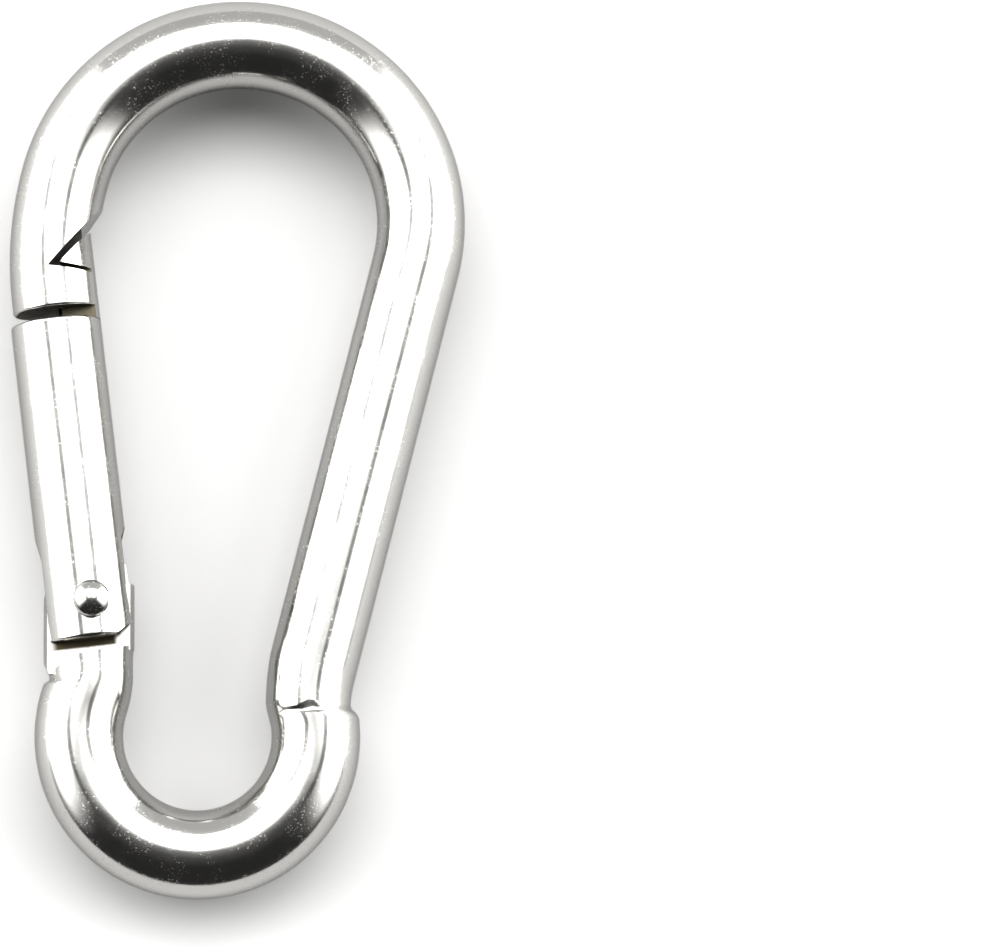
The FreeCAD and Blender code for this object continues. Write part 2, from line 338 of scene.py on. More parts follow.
class Loft(Run):
    """A short step from one bar to the next. It leaves the one and meets the other in line with each."""
    def __init__(self, before, after, dent=None):
        super().__init__(before.end, after.start, (before.radii[1], after.radii[0]))
        self.ends, self.dent = (before.way(1.0), after.way(0.0)), dent

    def place(self, u):
        (start, out_way), (end, in_way) = self.ends
        u = np.asarray(u)[:, None]
        turned = u * (1 - u) * ((1 - u) * out_way - u * in_way) * self.length
        return (1 - smooth(u)) * start + smooth(u) * end + turned

    def side(self, u):
        """Direction across the bar at each share, led from the one bar's to the other's."""
        u = smooth(np.clip(u, 0, 1))[:, None]
        along = (1 - u) * self.ends[0][1] + u * self.ends[1][1]
        side = np.column_stack([-along[:, 1], along[:, 0]])
        return side / np.linalg.norm(side, axis=1)[:, None]

    def ring(self, u, turns):
        """Points of the surface at one share, at these turns about the centre line."""
        share = np.array([u])
        radius = self.radius(u)
        flat = self.place(share) + radius * np.outer(np.cos(turns), self.side(share)[0])
        height = radius * np.sin(turns)
        if self.dent:
            height -= self.dent(u * self.length, turns)
        return np.column_stack([flat, height])

    def fit(self, points):
        """As for any run, with the share found along the straight line between the ends."""
        start, way = np.array(self.start[:2]), np.array((self.end - self.start)[:2]) / self.length
        u = (points[:, :2] - start) @ way / self.length
        side = self.side(u)
        across = ((points[:, :2] - self.place(u)) * side).sum(axis=1)
        turn = np.arctan2(points[:, 2], across)
        error = abs(np.hypot(across, points[:, 2]) - self.radius(u))
        normal = np.column_stack([np.cos(turn)[:, None] * side, np.sin(turn)])
        return normal, error, np.maximum(-u, u - 1) * self.length


class Rim(Run):
    """A rounded end of the bar: the radius grows along a quarter circle, from the end face on."""
    def __init__(self, start, end, radius):
        super().__init__(start, end, (radius, radius))
        self.steps = 8

    def shares(self):
        return 1 - np.cos(np.linspace(0, pi / 2, self.steps + 1))

    def radius(self, u):
        back = 1 - np.clip(u, 0, 1)
        return self.radii[0] - self.length * (1 - np.sqrt(1 - back * back))

    def slope(self, u):
        back = np.clip(1 - u, 0, 0.9999)
        return back / np.sqrt(1 - back * back)


class Flipped(Run):
    """A rim taken from its full radius to the end face."""
    def __init__(self, rim):
        super().__init__(rim.end, rim.start, rim.radii)
        self.rim = rim
        self.steps = rim.steps

    def shares(self):
        return 1 - self.rim.shares()[::-1]

    def radius(self, u):
        return self.rim.radius(1 - u)


def arc_run(centre, radius, start, end, radii, step=0.4):
    return Run(polar(centre, radius, start), polar(centre, radius, end), radii, centre, (start, end), step)


class Plan:
    """Places of the hook, worked out from its sizes."""
    def __init__(self, bar):
        self.bar_r, self.sides = bar.bar_d / 2, bar.sides
        self.crown_r, self.bowl_r = bar.crown_r, bar.bowl_r
        self.crown_c = vec(0, 0)
        self.bowl_c = vec(-bar.bowl_offset, bar.crown_r + bar.bowl_r + bar.bar_d - bar.overall_length)
        self.arm_bow = polar(self.bowl_c, bar.bowl_r, arm_bow_from)
        self.arm_waist = self.arm_bow + vec(-arm_waist_in, arm_waist_rise)
        self.arm_bend_c = self.arm_waist - heading(arm_waist_lean).cross(Z) * arm_bend_r
        c = self.arm_bend_c
        self.arm_tangent = degrees(atan2(c.y, c.x) + acos((bar.crown_r + arm_bend_r) / hypot(c.x, c.y)))
        self.arm_top = polar(self.crown_c, bar.crown_r, self.arm_tangent)
        self.arm_end = polar(c, arm_bend_r, 180 + self.arm_tangent)
        self.tongue_bow = polar(self.bowl_c, bar.bowl_r, tongue_bow_from)
        self.tongue_waist = self.tongue_bow + vec(tongue_waist_in, tongue_waist_rise)
        self.tongue_x = self.tongue_waist.x - tongue_side_step
        self.pivot = vec(self.tongue_x + pivot_side, self.bowl_c.y + pivot_rise)
        self.nose_bend_c = polar(self.crown_c, bar.crown_r - nose_bend_r, nose_bend_from)
        to_pivot = self.pivot - self.nose_bend_c
        reach = nose_bend_r + gate_shift - pivot_in_gate
        self.gate_lean = 180 + degrees(atan2(to_pivot.y, to_pivot.x) - acos(reach / to_pivot.length))
        down = heading(-self.gate_lean)
        self.nose_bend_end = polar(self.nose_bend_c, nose_bend_r, 180 + self.gate_lean)
        self.nose_end = self.nose_bend_end + down * nose_tail
        inward = vec(cos(radians(self.gate_lean)), sin(radians(self.gate_lean)))
        self.gate_top = self.nose_end + down * nose_gap - inward * gate_shift
        self.gate_place = Matrix.Translation(self.gate_top) @ Matrix.Rotation(radians(self.gate_lean), 4, "Z")
        self.pivot_in_gate = self.gate_place.inverted() @ self.pivot
        self.gate_length = pivot_to_end - self.pivot_in_gate.y
        self.dome_seat = vec(0, self.pivot_in_gate.y + plunger_seat)
        self.cam_reach = plunger_seat + plunger_lift - plunger_d / 2 - cam_gap
        self.fork_end = self.pivot_in_gate.y + self.cam_reach + fork_end_gap
        self.notch_tip = vec(gate_shift - notch_depth, nose_gap + notch_height)
        low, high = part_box("hook_body")
        middle = (low.z + high.z) / 2
        reach = bar.crown_r + self.bar_r
        corner = Vector((high.x, high.y, middle)) / MM - vec(reach, reach)
        self.to_frame = Matrix.Scale(MM, 4) @ Matrix.Translation(corner)

    def shoulder(self):
        """Line where the flat ends: from the waist's outer side to its turn, and on past the inner side."""
        turn = vec(self.tongue_x - shoulder_turn, self.tongue_waist.y + shoulder_rise)
        low = vec(turn.x - shoulder_rise / tan(radians(shoulder_fall)), self.tongue_waist.y + seam_clear)
        high = turn + vec(tongue_w, tongue_w * tan(radians(shoulder_slope)))
        return [low, turn, high]

    def dome_at(self, turn):
        """Middle of the plunger's dome with the gate open by this angle."""
        lift = plunger_lift * turn / open_angle
        arm = self.gate_place @ (self.dome_seat + vec(0, lift)) - self.pivot
        return self.pivot + Matrix.Rotation(radians(-turn), 3, "Z") @ arm

    def cam_point(self, turn):
        small = 0.5
        path = self.dome_at(turn + small) - self.dome_at(turn - small)
        return self.dome_at(turn) + path.cross(Z).normalized() * (plunger_d / 2 + cam_gap)

    def body_runs(self):
        """Centre lines of the hook's bar: nose to the arm's waist, toe bow, and the tongue's root."""
        r = self.bar_r
        rim_end = self.nose_end + (self.nose_bend_end - self.nose_end).normalized() * nose_rim
        root_top = vec(self.tongue_x, self.shoulder()[2].y)
        upper = [
            Rim(self.nose_end, rim_end, r),
            Run(rim_end, self.nose_bend_end, (r, r)),
            arc_run(self.nose_bend_c, nose_bend_r, 180 + self.gate_lean, nose_bend_from, (r, r)),
            arc_run(self.crown_c, self.crown_r, nose_bend_from, self.arm_tangent, (r, r)),
            Run(self.arm_top, self.arm_end, (r, r), step=2.0),
            arc_run(self.arm_bend_c, arm_bend_r, 180 + self.arm_tangent, 180 - arm_waist_lean,
                    (r, arm_waist_d / 2), step=0.2),
        ]
        bow = [arc_run(self.bowl_c, self.bowl_r, arm_bow_from, tongue_bow_from - 360, (r, r), step=0.3)]
        root = [Run(self.tongue_waist, root_top, (tongue_waist_d / 2, tongue_root_d / 2))]
        return upper, bow, root


def link(mesh, name):
    """New object of the scene with this mesh."""
    obj = bpy.data.objects.new(name, mesh)
    bpy.context.scene.collection.objects.link(obj)
    return obj


def from_bmesh(bm, name):
    """Closes a bmesh into a new linked object with its normals outwards."""
    bmesh.ops.remove_doubles(bm, verts=bm.verts, dist=1e-5)
    bmesh.ops.recalc_face_normals(bm, faces=bm.faces)
    mesh = bpy.data.meshes.new(name)
    bm.to_mesh(mesh)
    bm.free()
    return link(mesh, name)


def prism(points, low, high, name="cutter"):
    """Closed block over an outline of the plan, between two heights."""
    bm = bmesh.new()
    rings = [[bm.verts.new((p.x, p.y, z)) for p in points] for z in (low, high)]
    bm.faces.new(rings[0])
    bm.faces.new(rings[1])
    for i in range(len(points)):
        j = (i + 1) % len(points)
        bm.faces.new([rings[0][i], rings[0][j], rings[1][j], rings[1][i]])
    return from_bmesh(bm, name)


def rod(start, end, radius, sides, name="cutter"):
    """Closed cylinder between two points."""
    bm = bmesh.new()
    along = end - start
    place = Matrix.Translation((start + end) / 2) @ along.to_track_quat("Z", "Y").to_matrix().to_4x4()
    bmesh.ops.create_cone(bm, cap_ends=True, segments=sides, radius1=radius, radius2=radius,
                          depth=along.length, matrix=place)
    return from_bmesh(bm, name)


def settle(obj):
    """Turns an object's modifiers into its own plain mesh."""
    graph = bpy.context.evaluated_depsgraph_get()
    mesh = bpy.data.meshes.new_from_object(obj.evaluated_get(graph), depsgraph=graph)
    obj.modifiers.clear()
    obj.data = mesh
    return obj


def carve(obj, tool, operation="DIFFERENCE"):
    """Cuts, joins or keeps what two solids share, then removes the tool."""
    cut = obj.modifiers.new("cut", "BOOLEAN")
    cut.solver = "EXACT"
    cut.operation = operation
    cut.object = tool
    cut.material_mode = "TRANSFER"
    before = len(obj.data.polygons)
    settle(obj)
    bpy.data.objects.remove(tool)
    if len(obj.data.polygons) < before / 2:
        raise RuntimeError("cut lost most of " + obj.name)
    return obj


def paint(obj, *materials):
    """Gives an object these materials alone."""
    obj.data.materials.clear()
    for m in materials:
        obj.data.materials.append(m)
    return obj


def in_gate_plan(obj, plan):
    """Moves a mesh made in the gate's plan to its place in the hook's."""
    obj.data.transform(plan.gate_place)
    return obj


class NodeTree:
    """Adds nodes with their settings and inputs in one call."""
    def __init__(self, tree):
        self.tree = tree

    @classmethod
    def blank(cls, owner):
        """Emptied node tree of a material or a world."""
        owner.use_nodes = True
        owner.node_tree.nodes.clear()
        return cls(owner.node_tree)

    def add(self, kind, values=(), **settings):
        node = self.tree.nodes.new(kind)
        for key, value in settings.items():
            setattr(node, key, value)
        for key, value in dict(values).items():
            socket = node.inputs[key]
            if isinstance(value, Sock):
                value = value.socket
            if isinstance(value, bpy.types.NodeSocket):
                self.tree.links.new(value, socket)
            else:
                socket.default_value = value
        return node

    def sock(self, kind, values=(), out=0, **settings):
        return Sock(self, self.add(kind, values, **settings).outputs[out])

    def end(self, geometry, material):
        """Ends a tree of shapes: makes instances real and sets the material."""
        whole = self.add("GeometryNodeRealizeInstances", {"Geometry": geometry})
        dressed = self.add("GeometryNodeSetMaterial", {"Geometry": whole.outputs[0], "Material": material})
        self.add("NodeGroupOutput", {"Geometry": dressed.outputs[0]})

    def mix(self, share, first, second):
        """Colour between two others."""
        return self.sock("ShaderNodeMix", {0: share, 6: first, 7: second}, out=2, data_type="RGBA")


class Sock:
    """A socket that can be used in a Python expression."""
    def __init__(self, nodes, socket):
        self.nodes, self.socket = nodes, socket

    def op(self, operation, *others, clamp=False):
        values = {i: v for i, v in enumerate((self,) + others)}
        return self.nodes.sock("ShaderNodeMath", values, operation=operation, use_clamp=clamp)

    def __add__(self, other):
        return self.op("ADD", other)

    def __sub__(self, other):
        return self.op("SUBTRACT", other)

    def __mul__(self, other):
        return self.op("MULTIPLY", other)

    def __truediv__(self, other):
        return self.op("DIVIDE", other)

    __radd__ = __add__
    __rmul__ = __mul__

    def __rsub__(self, other):
        return self.nodes.sock("ShaderNodeMath", {0: other, 1: self}, operation="SUBTRACT")

    def __abs__(self):
        return self.op("ABSOLUTE")

    def step(self, low, high):
        """0 below low, 1 above high, smooth between."""
        values = {"Value": self, "From Min": low, "From Max": high}
        return self.nodes.sock("ShaderNodeMapRange", values, interpolation_type="SMOOTHSTEP")


def path_object(runs, name):
    """Centre line as a chain of edges, with the bar's radius at each point."""
    points, radii = [], []
    for run in runs:
        u = run.shares() if not points else run.shares()[1:]
        points.extend(tuple(p) + (0.0,) for p in run.place(u))
        radii.extend(run.radius(u))
    mesh = bpy.data.meshes.new(name)
    mesh.from_pydata(points, [(i, i + 1) for i in range(len(points) - 1)], [])
    mesh.attributes.new("bar_radius", "FLOAT", "POINT").data.foreach_set("value", radii)
    return link(mesh, name)


def shape_tree(name, **inputs):
    """Empty Geometry Nodes tree with these inputs, and the identifier of each."""
    tree = bpy.data.node_groups.new(name, "GeometryNodeTree")
    ids = {}
    for key, kind in inputs.items():
        ids[key] = tree.interface.new_socket(key, in_out="INPUT", socket_type="NodeSocket" + kind).identifier
    tree.interface.new_socket("Geometry", in_out="OUTPUT", socket_type="NodeSocketGeometry")
    return tree, ids


def run_tree(obj, made, **values):
    """Runs a tree on an object with these inputs, and keeps the plain mesh."""
    tree, ids = made
    modifier = obj.modifiers.new("shape", "NODES")
    modifier.node_group = tree
    for key, value in values.items():
        modifier[ids[key]] = value
    return settle(obj)


def sweep_tree():
    """Geometry Nodes: round bar along a centre line, with the radius stored on its points."""
    tree, ids = shape_tree("bar along a path", Geometry="Geometry", Sides="Int", Material="Material")
    nodes = NodeTree(tree)
    given = nodes.add("NodeGroupInput")
    curve = nodes.add("GeometryNodeMeshToCurve", {"Mesh": given.outputs["Geometry"]})
    upright = nodes.add("GeometryNodeSetCurveNormal", {"Curve": curve.outputs[0]}, mode="Z_UP")
    circle = nodes.add("GeometryNodeCurvePrimitiveCircle",
                       {"Resolution": given.outputs["Sides"], "Radius": 1.0}, mode="RADIUS")
    radius = nodes.add("GeometryNodeInputNamedAttribute", {"Name": "bar_radius"}, data_type="FLOAT")
    bar = nodes.add("GeometryNodeCurveToMesh",
                    {"Curve": upright.outputs[0], "Profile Curve": circle.outputs[0],
                     "Scale": radius.outputs["Attribute"], "Fill Caps": False})
    nodes.end(bar.outputs[0], given.outputs["Material"])
    return tree, ids


def sweep(runs, name, sides, material):
    """Round bar along the runs, open at both ends."""
    return run_tree(path_object(runs, name), sweep_tree(), Sides=sides, Material=material)


def join_bars(parts, lofts, name, steel, sawn_and_shade):
    """Joins the open sweeps by the lofts, in order, and closes the two free ends."""
    bm = bmesh.new()
    for part in parts:
        bm.from_mesh(part.data)
        bpy.data.objects.remove(part)
    bm.verts.index_update()
    loops = open_loops(bm)
    for step, before, after in zip(lofts, loops[1:-1:2], loops[2::2]):
        rings = [ring_by_turn(before, *step.ends[0])]
        turns = np.arange(len(before)) / len(before) * 2 * pi
        for u in np.linspace(0, 1, loft_cuts + 2)[1:-1]:
            rings.append([bm.verts.new(p) for p in step.ring(u, turns)])
        rings.append(ring_by_turn(after, *step.ends[1]))
        for low, high in zip(rings, rings[1:]):
            for i in range(len(low)):
                bm.faces.new([low[i - 1], low[i], high[i], high[i - 1]])
    for loop in (loops[0], loops[-1]):
        for face in bmesh.ops.contextual_create(bm, geom=loop)["faces"]:
            face.material_index = 1
    obj = from_bmesh(bm, name)
    obj.data.materials.append(steel)
    obj.data.materials.append(sawn_and_shade)
    return obj


def ring_by_turn(loop, point, along):
    """Vertices of an open end, in the order of their turn about the bar's centre line."""
    def turn(v):
        across = (v.co.x - point[0]) * -along[1] + (v.co.y - point[1]) * along[0]
        return (atan2(v.co.z, across) + 0.01) % (2 * pi)
    return sorted({v for e in loop for v in e.verts}, key=turn)


def crease_dent(along, turn):
    """Depth of the bend's crease across the top of the arm's waist, by distance and turn."""
    lean = np.degrees(turn)
    window = smooth(np.clip((lean - crease_turns[0]) / crease_fade, 0, 1))
    window = window * smooth(np.clip((crease_turns[1] - lean) / crease_fade, 0, 1))
    blunt = np.exp(-((lean - crease_blunt_at) / crease_blunt_spread) ** 2)
    side = along - crease_at
    width = crease_width if side > 0 else crease_width + crease_blunt * blunt
    return crease_depth * window * np.exp(-(side / width) ** 2)


def open_loops(bm):
    """Open edge loops of a mesh, in the order of their vertices."""
    left = {e for e in bm.edges if e.is_boundary}
    loops = []
    while left:
        loop = [left.pop()]
        for edge in loop:
            for v in edge.verts:
                near = [e for e in v.link_edges if e in left]
                loop.extend(near)
                left.difference_update(near)
        loops.append(loop)
    return sorted(loops, key=lambda loop: min(v.index for e in loop for v in e.verts))


def polish(obj, runs, crease=3.0, miss=0.03, facing=0.9, beyond_end=0.05):
    """Gives the round faces the true normals of the bar that they lie on. Others keep their own."""
    mesh = obj.data
    mesh.validate()
    mesh.shade_smooth()
    count = len(mesh.polygons)
    centres, normals = np.empty(count * 3), np.empty(count * 3)
    mesh.polygons.foreach_get("center", centres)
    mesh.polygons.foreach_get("normal", normals)
    centres, normals = centres.reshape(-1, 3), normals.reshape(-1, 3)
    best, owner = np.full(count, miss), np.full(count, -1)
    for i, run in enumerate(runs):
        true, error, beyond = run.fit(centres)
        fits = (beyond < beyond_end) & ((true * normals).sum(axis=1) > facing) & (error < best)
        best[fits], owner[fits] = error[fits], i
    mark_sharp(mesh, owner, radians(sharp_angle), radians(crease))
    corners = np.empty(len(mesh.vertices) * 3)
    mesh.vertices.foreach_get("co", corners)
    corners = corners.reshape(-1, 3)
    loop_vertex = np.empty(len(mesh.loops), dtype=int)
    mesh.loops.foreach_get("vertex_index", loop_vertex)
    totals = np.empty(count, dtype=int)
    mesh.polygons.foreach_get("loop_total", totals)
    loop_owner = np.repeat(owner, totals)
    given = np.zeros((len(mesh.loops), 3))
    for i, run in enumerate(runs):
        mine = loop_owner == i
        if mine.any():
            given[mine] = run.fit(corners[loop_vertex[mine]])[0]
    mesh.normals_split_custom_set(given.tolist())
    return obj


def mark_sharp(mesh, owner, sharp, crease):
    """Sharp edges: where faces meet at a sharp angle, or at a small one between two surfaces."""
    bm = bmesh.new()
    bm.from_mesh(mesh)
    for edge in bm.edges:
        if len(edge.link_faces) == 2:
            a, b = (owner[f.index] for f in edge.link_faces)
            edge.smooth = edge.calc_face_angle(0) < (sharp if a == b else crease)
    bm.to_mesh(mesh)
    bm.free()


def tongue_plate(plan, milled):
    """Tongue milled flat from round stock, with the cam on its top."""
    outside, inside = plan.tongue_x - tongue_w / 2, plan.tongue_x + tongue_w / 2
    turns = range(-cam_run_on, cam_steps + cam_run_on + 1)
    cam = [plan.cam_point(open_angle * i / cam_steps) for i in turns]
    start = vec(outside, plan.pivot.y)
    bend = vec(outside + bend_in, cam[0].y - bend_in)
    corner = vec(inside - corner_in, plan.pivot.y + corner_rise)
    corner_low = vec(inside + tongue_w / 2, corner.y - corner_in)
    low, turn, high = [p - vec(0, plate_sink) for p in plan.shoulder()]
    root_out = vec(plan.tongue_waist.x - tongue_waist_d / 2 + seam_clear, low.y - seam_clear)
    foot_out = vec(outside, plan.tongue_waist.y + foot_rise)
    wide = vec(tongue_w, 0)
    outline = [foot_out - wide, start - wide, start] + three_point_arc(start, bend, cam[0], bend_parts) + cam
    outline += [corner, corner_low, high, turn, low, root_out, foot_out]
    plate = paint(prism(outline, -tongue_t / 2, tongue_t / 2, "tongue"), milled)
    foot = vec(plan.tongue_x, plan.tongue_waist.y - past)
    stock = rod(foot, foot + vec(0, pivot_rise), tongue_w / 2, stock_sides)
    return carve(plate, stock, "INTERSECT")


def three_point_arc(a, b, c, parts):
    """Points between a and c on the circle through a, b and c."""
    ax, ay, bx, by, cx, cy = a.x, a.y, b.x, b.y, c.x, c.y
    d = 2 * (ax * (by - cy) + bx * (cy - ay) + cx * (ay - by))
    sa, sb, sc = ax * ax + ay * ay, bx * bx + by * by, cx * cx + cy * cy
    centre = vec((sa * (by - cy) + sb * (cy - ay) + sc * (ay - by)) / d,
                 (sa * (cx - bx) + sb * (ax - cx) + sc * (bx - ax)) / d)
    turns = [atan2(p.y - centre.y, p.x - centre.x) for p in (a, b, c)]
    turns = [t - 2 * pi if t > turns[0] + pi else t + 2 * pi if t < turns[0] - pi else t for t in turns]
    radius = (a - centre).length
    steps = [turns[0] + (turns[2] - turns[0]) * i / parts for i in range(1, parts)]
    return [vec(centre.x + radius * cos(t), centre.y + radius * sin(t)) for t in steps]


def notch_face(plan, reach, slope, offset):
    """Two ends of a notch face, moved by offset square to itself, in the gate's plan."""
    a = radians(slope)
    start = plan.notch_tip + vec(-sin(a), cos(a)) * offset
    return start, start + vec(cos(a), sin(a)) * reach


def latch_corner(plan):
    """Outer corner of the latch head, where its two faces meet."""
    up, down = radians(notch_top_slope), radians(-notch_floor_slope)
    top = notch_face(plan, far, notch_top_slope, -latch_top_gap)[0]
    floor = notch_face(plan, far, -notch_floor_slope, latch_floor_gap)[0]
    run = ((floor.x - top.x) * sin(up) - (floor.y - top.y) * cos(up)) / sin(down - up)
    return floor + vec(cos(down), sin(down)) * run


def make_hook_body(plan, steel, milled, sawn_and_shade):
    """Bent bar with its tongue, pivot hole, notch and slot."""
    stretches = plan.body_runs()
    upper, bow, root = stretches
    lofts = [Loft(upper[-1], bow[0], crease_dent), Loft(bow[-1], root[0])]
    bars = [sweep(runs, "stretch", plan.sides, steel) for runs in stretches]
    body = join_bars(bars, lofts, "hook_bar", steel, sawn_and_shade)
    low, turn, high = plan.shoulder()
    outside = low.x - tongue_w
    top = plan.pivot.y
    above = [low, turn, high, vec(high.x, top), vec(outside, top), vec(outside, low.y)]
    carve(body, paint(prism(above, -far, far), milled))
    carve(body, tongue_plate(plan, milled), "UNION")
    hole = rod(plan.pivot - Z * far, plan.pivot + Z * far, shank_d / 2 + running_gap, hole_sides)
    carve(body, paint(hole, sawn_and_shade))
    # The notch's faces get the dark cut-face colour as painted shade where the latch head hides them; only the
    # top face beyond its first 4.5 mm from the tip stays polished steel
    top = notch_face(plan, far, notch_top_slope, 0)[1]
    eased = notch_face(plan, notch_shade_length, notch_top_slope, 0)[1]
    floor = notch_face(plan, far, -notch_floor_slope, 0)[1]
    notch = paint(prism([top, eased, plan.notch_tip, floor, vec(floor.x, top.y)], -far, far), sawn_and_shade, steel)
    notch.data.polygons[2].material_index = 1
    carve(body, in_gate_plan(notch, plan))
    back, slot_w = neck_from - neck_back_gap, neck_t + 2 * neck_side_gap
    top = plan.notch_tip.y
    slot = prism([vec(back, -far), vec(far, -far), vec(far, top), vec(back, top)], -slot_w / 2, slot_w / 2)
    carve(body, paint(in_gate_plan(slot, plan), sawn_and_shade))
    low = vec(plan.tongue_x, plan.tongue_waist.y)
    tongue_side = Run(low, low + vec(0, pivot_rise), (tongue_w / 2, tongue_w / 2))
    polish(body, upper + bow + root + lofts + [tongue_side])
    return body


def make_gate(plan, steel, sawn_and_shade):
    """Gate bar with its heel, fork, bore and rivet hole, and the latch on its end."""
    low, high, rim = -plan.gate_length, vec(0, 0), vec(0, gate_rim)
    lower = Rim(vec(0, low), vec(0, low) + rim, gate_r)
    upper = Rim(high, high - rim, gate_r)
    shank = Run(lower.end, upper.end, (gate_r, gate_r), step=1.0)
    stretch = sweep([lower, shank, Flipped(upper)], "stretch", plan.sides, steel)
    gate = join_bars([stretch], [], "gate_bar", steel, sawn_and_shade)
    heel_rise = far * tan(radians(heel_slope))
    heel = prism([vec(heel_from, low), vec(heel_from + far, low + heel_rise),
                  vec(heel_from + far, low - past), vec(heel_from, low - past)], -far, far)
    carve(gate, paint(heel, steel))
    carve(gate, paint(fork_slot(plan), sawn_and_shade))
    start = plan.dome_seat - vec(0, plunger_d)
    bore = rod(start, vec(0, -bore_wall), plunger_d / 2 + plunger_gap, hole_sides)
    carve(gate, paint(bore, sawn_and_shade))
    pivot = plan.pivot_in_gate
    hole = rod(pivot - Z * far, pivot + Z * far, shank_d / 2 + seat_gap, hole_sides)
    carve(gate, paint(hole, sawn_and_shade))
    carve(gate, latch(plan, steel, sawn_and_shade), "UNION")
    long_run = Run(vec(0, low), vec(0, far), (gate_r, gate_r))
    polish(gate, [lower, upper, long_run])
    return in_gate_plan(gate, plan)


def fork_slot(plan):
    """Slot for the tongue, its end slanting and eased where it meets the bar's surface."""
    inner, outer = gate_r - fork_flare, fork_flare - gate_r
    inner_y, outer_y = (plan.fork_end + x * tan(radians(fork_end_slant)) for x in (inner, outer))
    inner_top, outer_top = inner_y + fork_flare_length / 2, outer_y + fork_flare_length
    low = -plan.gate_length - past
    half = tongue_t / 2 + fork_gap
    return prism([vec(-far, low), vec(-far, outer_top), vec(-gate_r, outer_top), vec(outer, outer_y),
                  vec(inner, inner_y), vec(gate_r, inner_top), vec(far, inner_top), vec(far, low)], -half, half)


def latch(plan, steel, sawn_and_shade):
    """Neck and triangular latch head, turned from the same round as the gate."""
    corner = latch_corner(plan)
    up, down = radians(notch_top_slope), radians(notch_floor_slope)
    top = corner + vec(cos(up), sin(up)) * far
    floor = corner + vec(cos(down), -sin(down)) * far
    head = paint(prism([corner, floor, vec(far, top.y), top], -gate_d, gate_d), sawn_and_shade)
    sunk = -gate_rim / 2
    ends = [vec(neck_from, sunk), vec(gate_d, sunk), vec(gate_d, corner.y), vec(neck_from, corner.y)]
    carve(head, paint(prism(ends, -neck_t / 2, neck_t / 2), sawn_and_shade), "UNION")
    stock = paint(rod(vec(0, sunk - past), vec(0, far), gate_r, stock_sides), steel)
    return carve(head, stock, "INTERSECT")


def make_rivet(plan, steel):
    """Shank with a domed head at each end, seated on the gate's round surface."""
    top = gate_r + head_stand
    r = head_d / 2
    turn = radians(dome_turn)
    dome_r = (r - dome_edge) / sin(turn) + dome_edge
    outline = [(dome_r * sin(a), top - dome_r + dome_r * cos(a)) for a in np.linspace(0, turn, 20)]
    edge_z = outline[-1][1] - dome_edge * cos(turn)
    outline[-1:] = [(r - dome_edge + dome_edge * sin(a), edge_z + dome_edge * cos(a))
                    for a in np.linspace(turn, pi / 2, 8)]
    seat = gate_r - head_stand
    outline += [(r, seat), (shank_d / 2, seat)]
    half = list(outline)
    outline += [(x, -z) for x, z in reversed(half)]
    bm = bmesh.new()
    rings = []
    sides = rivet_sides
    for x, z in outline[1:-1]:
        rings.append([bm.verts.new((x * cos(2 * pi * i / sides), x * sin(2 * pi * i / sides), z))
                      for i in range(sides)])
    for low, high in zip(rings, rings[1:]):
        for i in range(sides):
            j = (i + 1) % sides
            bm.faces.new([low[i], low[j], high[j], high[i]])
    for ring, z in ((rings[0], top), (rings[-1], -top)):
        tip = bm.verts.new((0, 0, z))
        for i in range(sides):
            bm.faces.new([ring[i], ring[(i + 1) % sides], tip])
    pivot = plan.pivot_in_gate
    for v in bm.verts:
        v.co += pivot
    rivet = paint(from_bmesh(bm, "rivet"), steel)
    stock = rod(vec(0, pivot.y - far), vec(0, pivot.y + far), gate_r + seat_gap, seat_sides)
    core = rod(pivot - Z * gate_r, pivot + Z * gate_r, shank_d / 2, sides)
    carve(rivet, paint(stock, steel))
    carve(rivet, paint(core, steel), "UNION")
    rivet.data.shade_smooth()
    rivet.data.set_sharp_from_angle(angle=radians(sharp_angle))
    return in_gate_plan(rivet, plan)


def coil_tree():
    """Geometry Nodes: round wire wound into a coil of a given length, with caps on the wire's ends."""
    tree, ids = shape_tree("wound coil", Turns="Float", Radius="Float", Length="Float", Wire="Float",
                           Material="Material")
    nodes = NodeTree(tree)
    given = nodes.add("NodeGroupInput")
    helix = nodes.add("GeometryNodeCurveSpiral",
                      {"Resolution": 32, "Rotations": given.outputs["Turns"],
                       "Height": given.outputs["Length"],
                       "Start Radius": given.outputs["Radius"], "End Radius": given.outputs["Radius"]})
    section = nodes.add("GeometryNodeCurvePrimitiveCircle",
                        {"Resolution": 12, "Radius": given.outputs["Wire"]}, mode="RADIUS")
    wire = nodes.add("GeometryNodeCurveToMesh",
                     {"Curve": helix.outputs[0], "Profile Curve": section.outputs[0], "Fill Caps": True})
    nodes.end(wire.outputs[0], given.outputs["Material"])
    return tree, ids


def make_spring(plan, wire_steel):
    """Coil between the plunger and the end of its bore."""
    bottom = plan.dome_seat.y + plunger_length - plunger_d / 2 + spring_wire_d / 2 + seat_gap
    top = -bore_wall - spring_wire_d / 2 - seat_gap
    coil_r = plunger_d / 2 + plunger_gap - spring_side_gap - spring_wire_d / 2
    obj = link(bpy.data.meshes.new("spring"), "coil_spring")
    run_tree(obj, coil_tree(), Turns=float(spring_turns), Radius=coil_r, Length=top - bottom,
             Wire=spring_wire_d / 2, Material=wire_steel)
    obj.data.transform(Matrix.Translation(vec(0, bottom)) @ Matrix.Rotation(radians(-90), 4, "X"))
    obj.data.shade_smooth()
    return in_gate_plan(obj, plan)


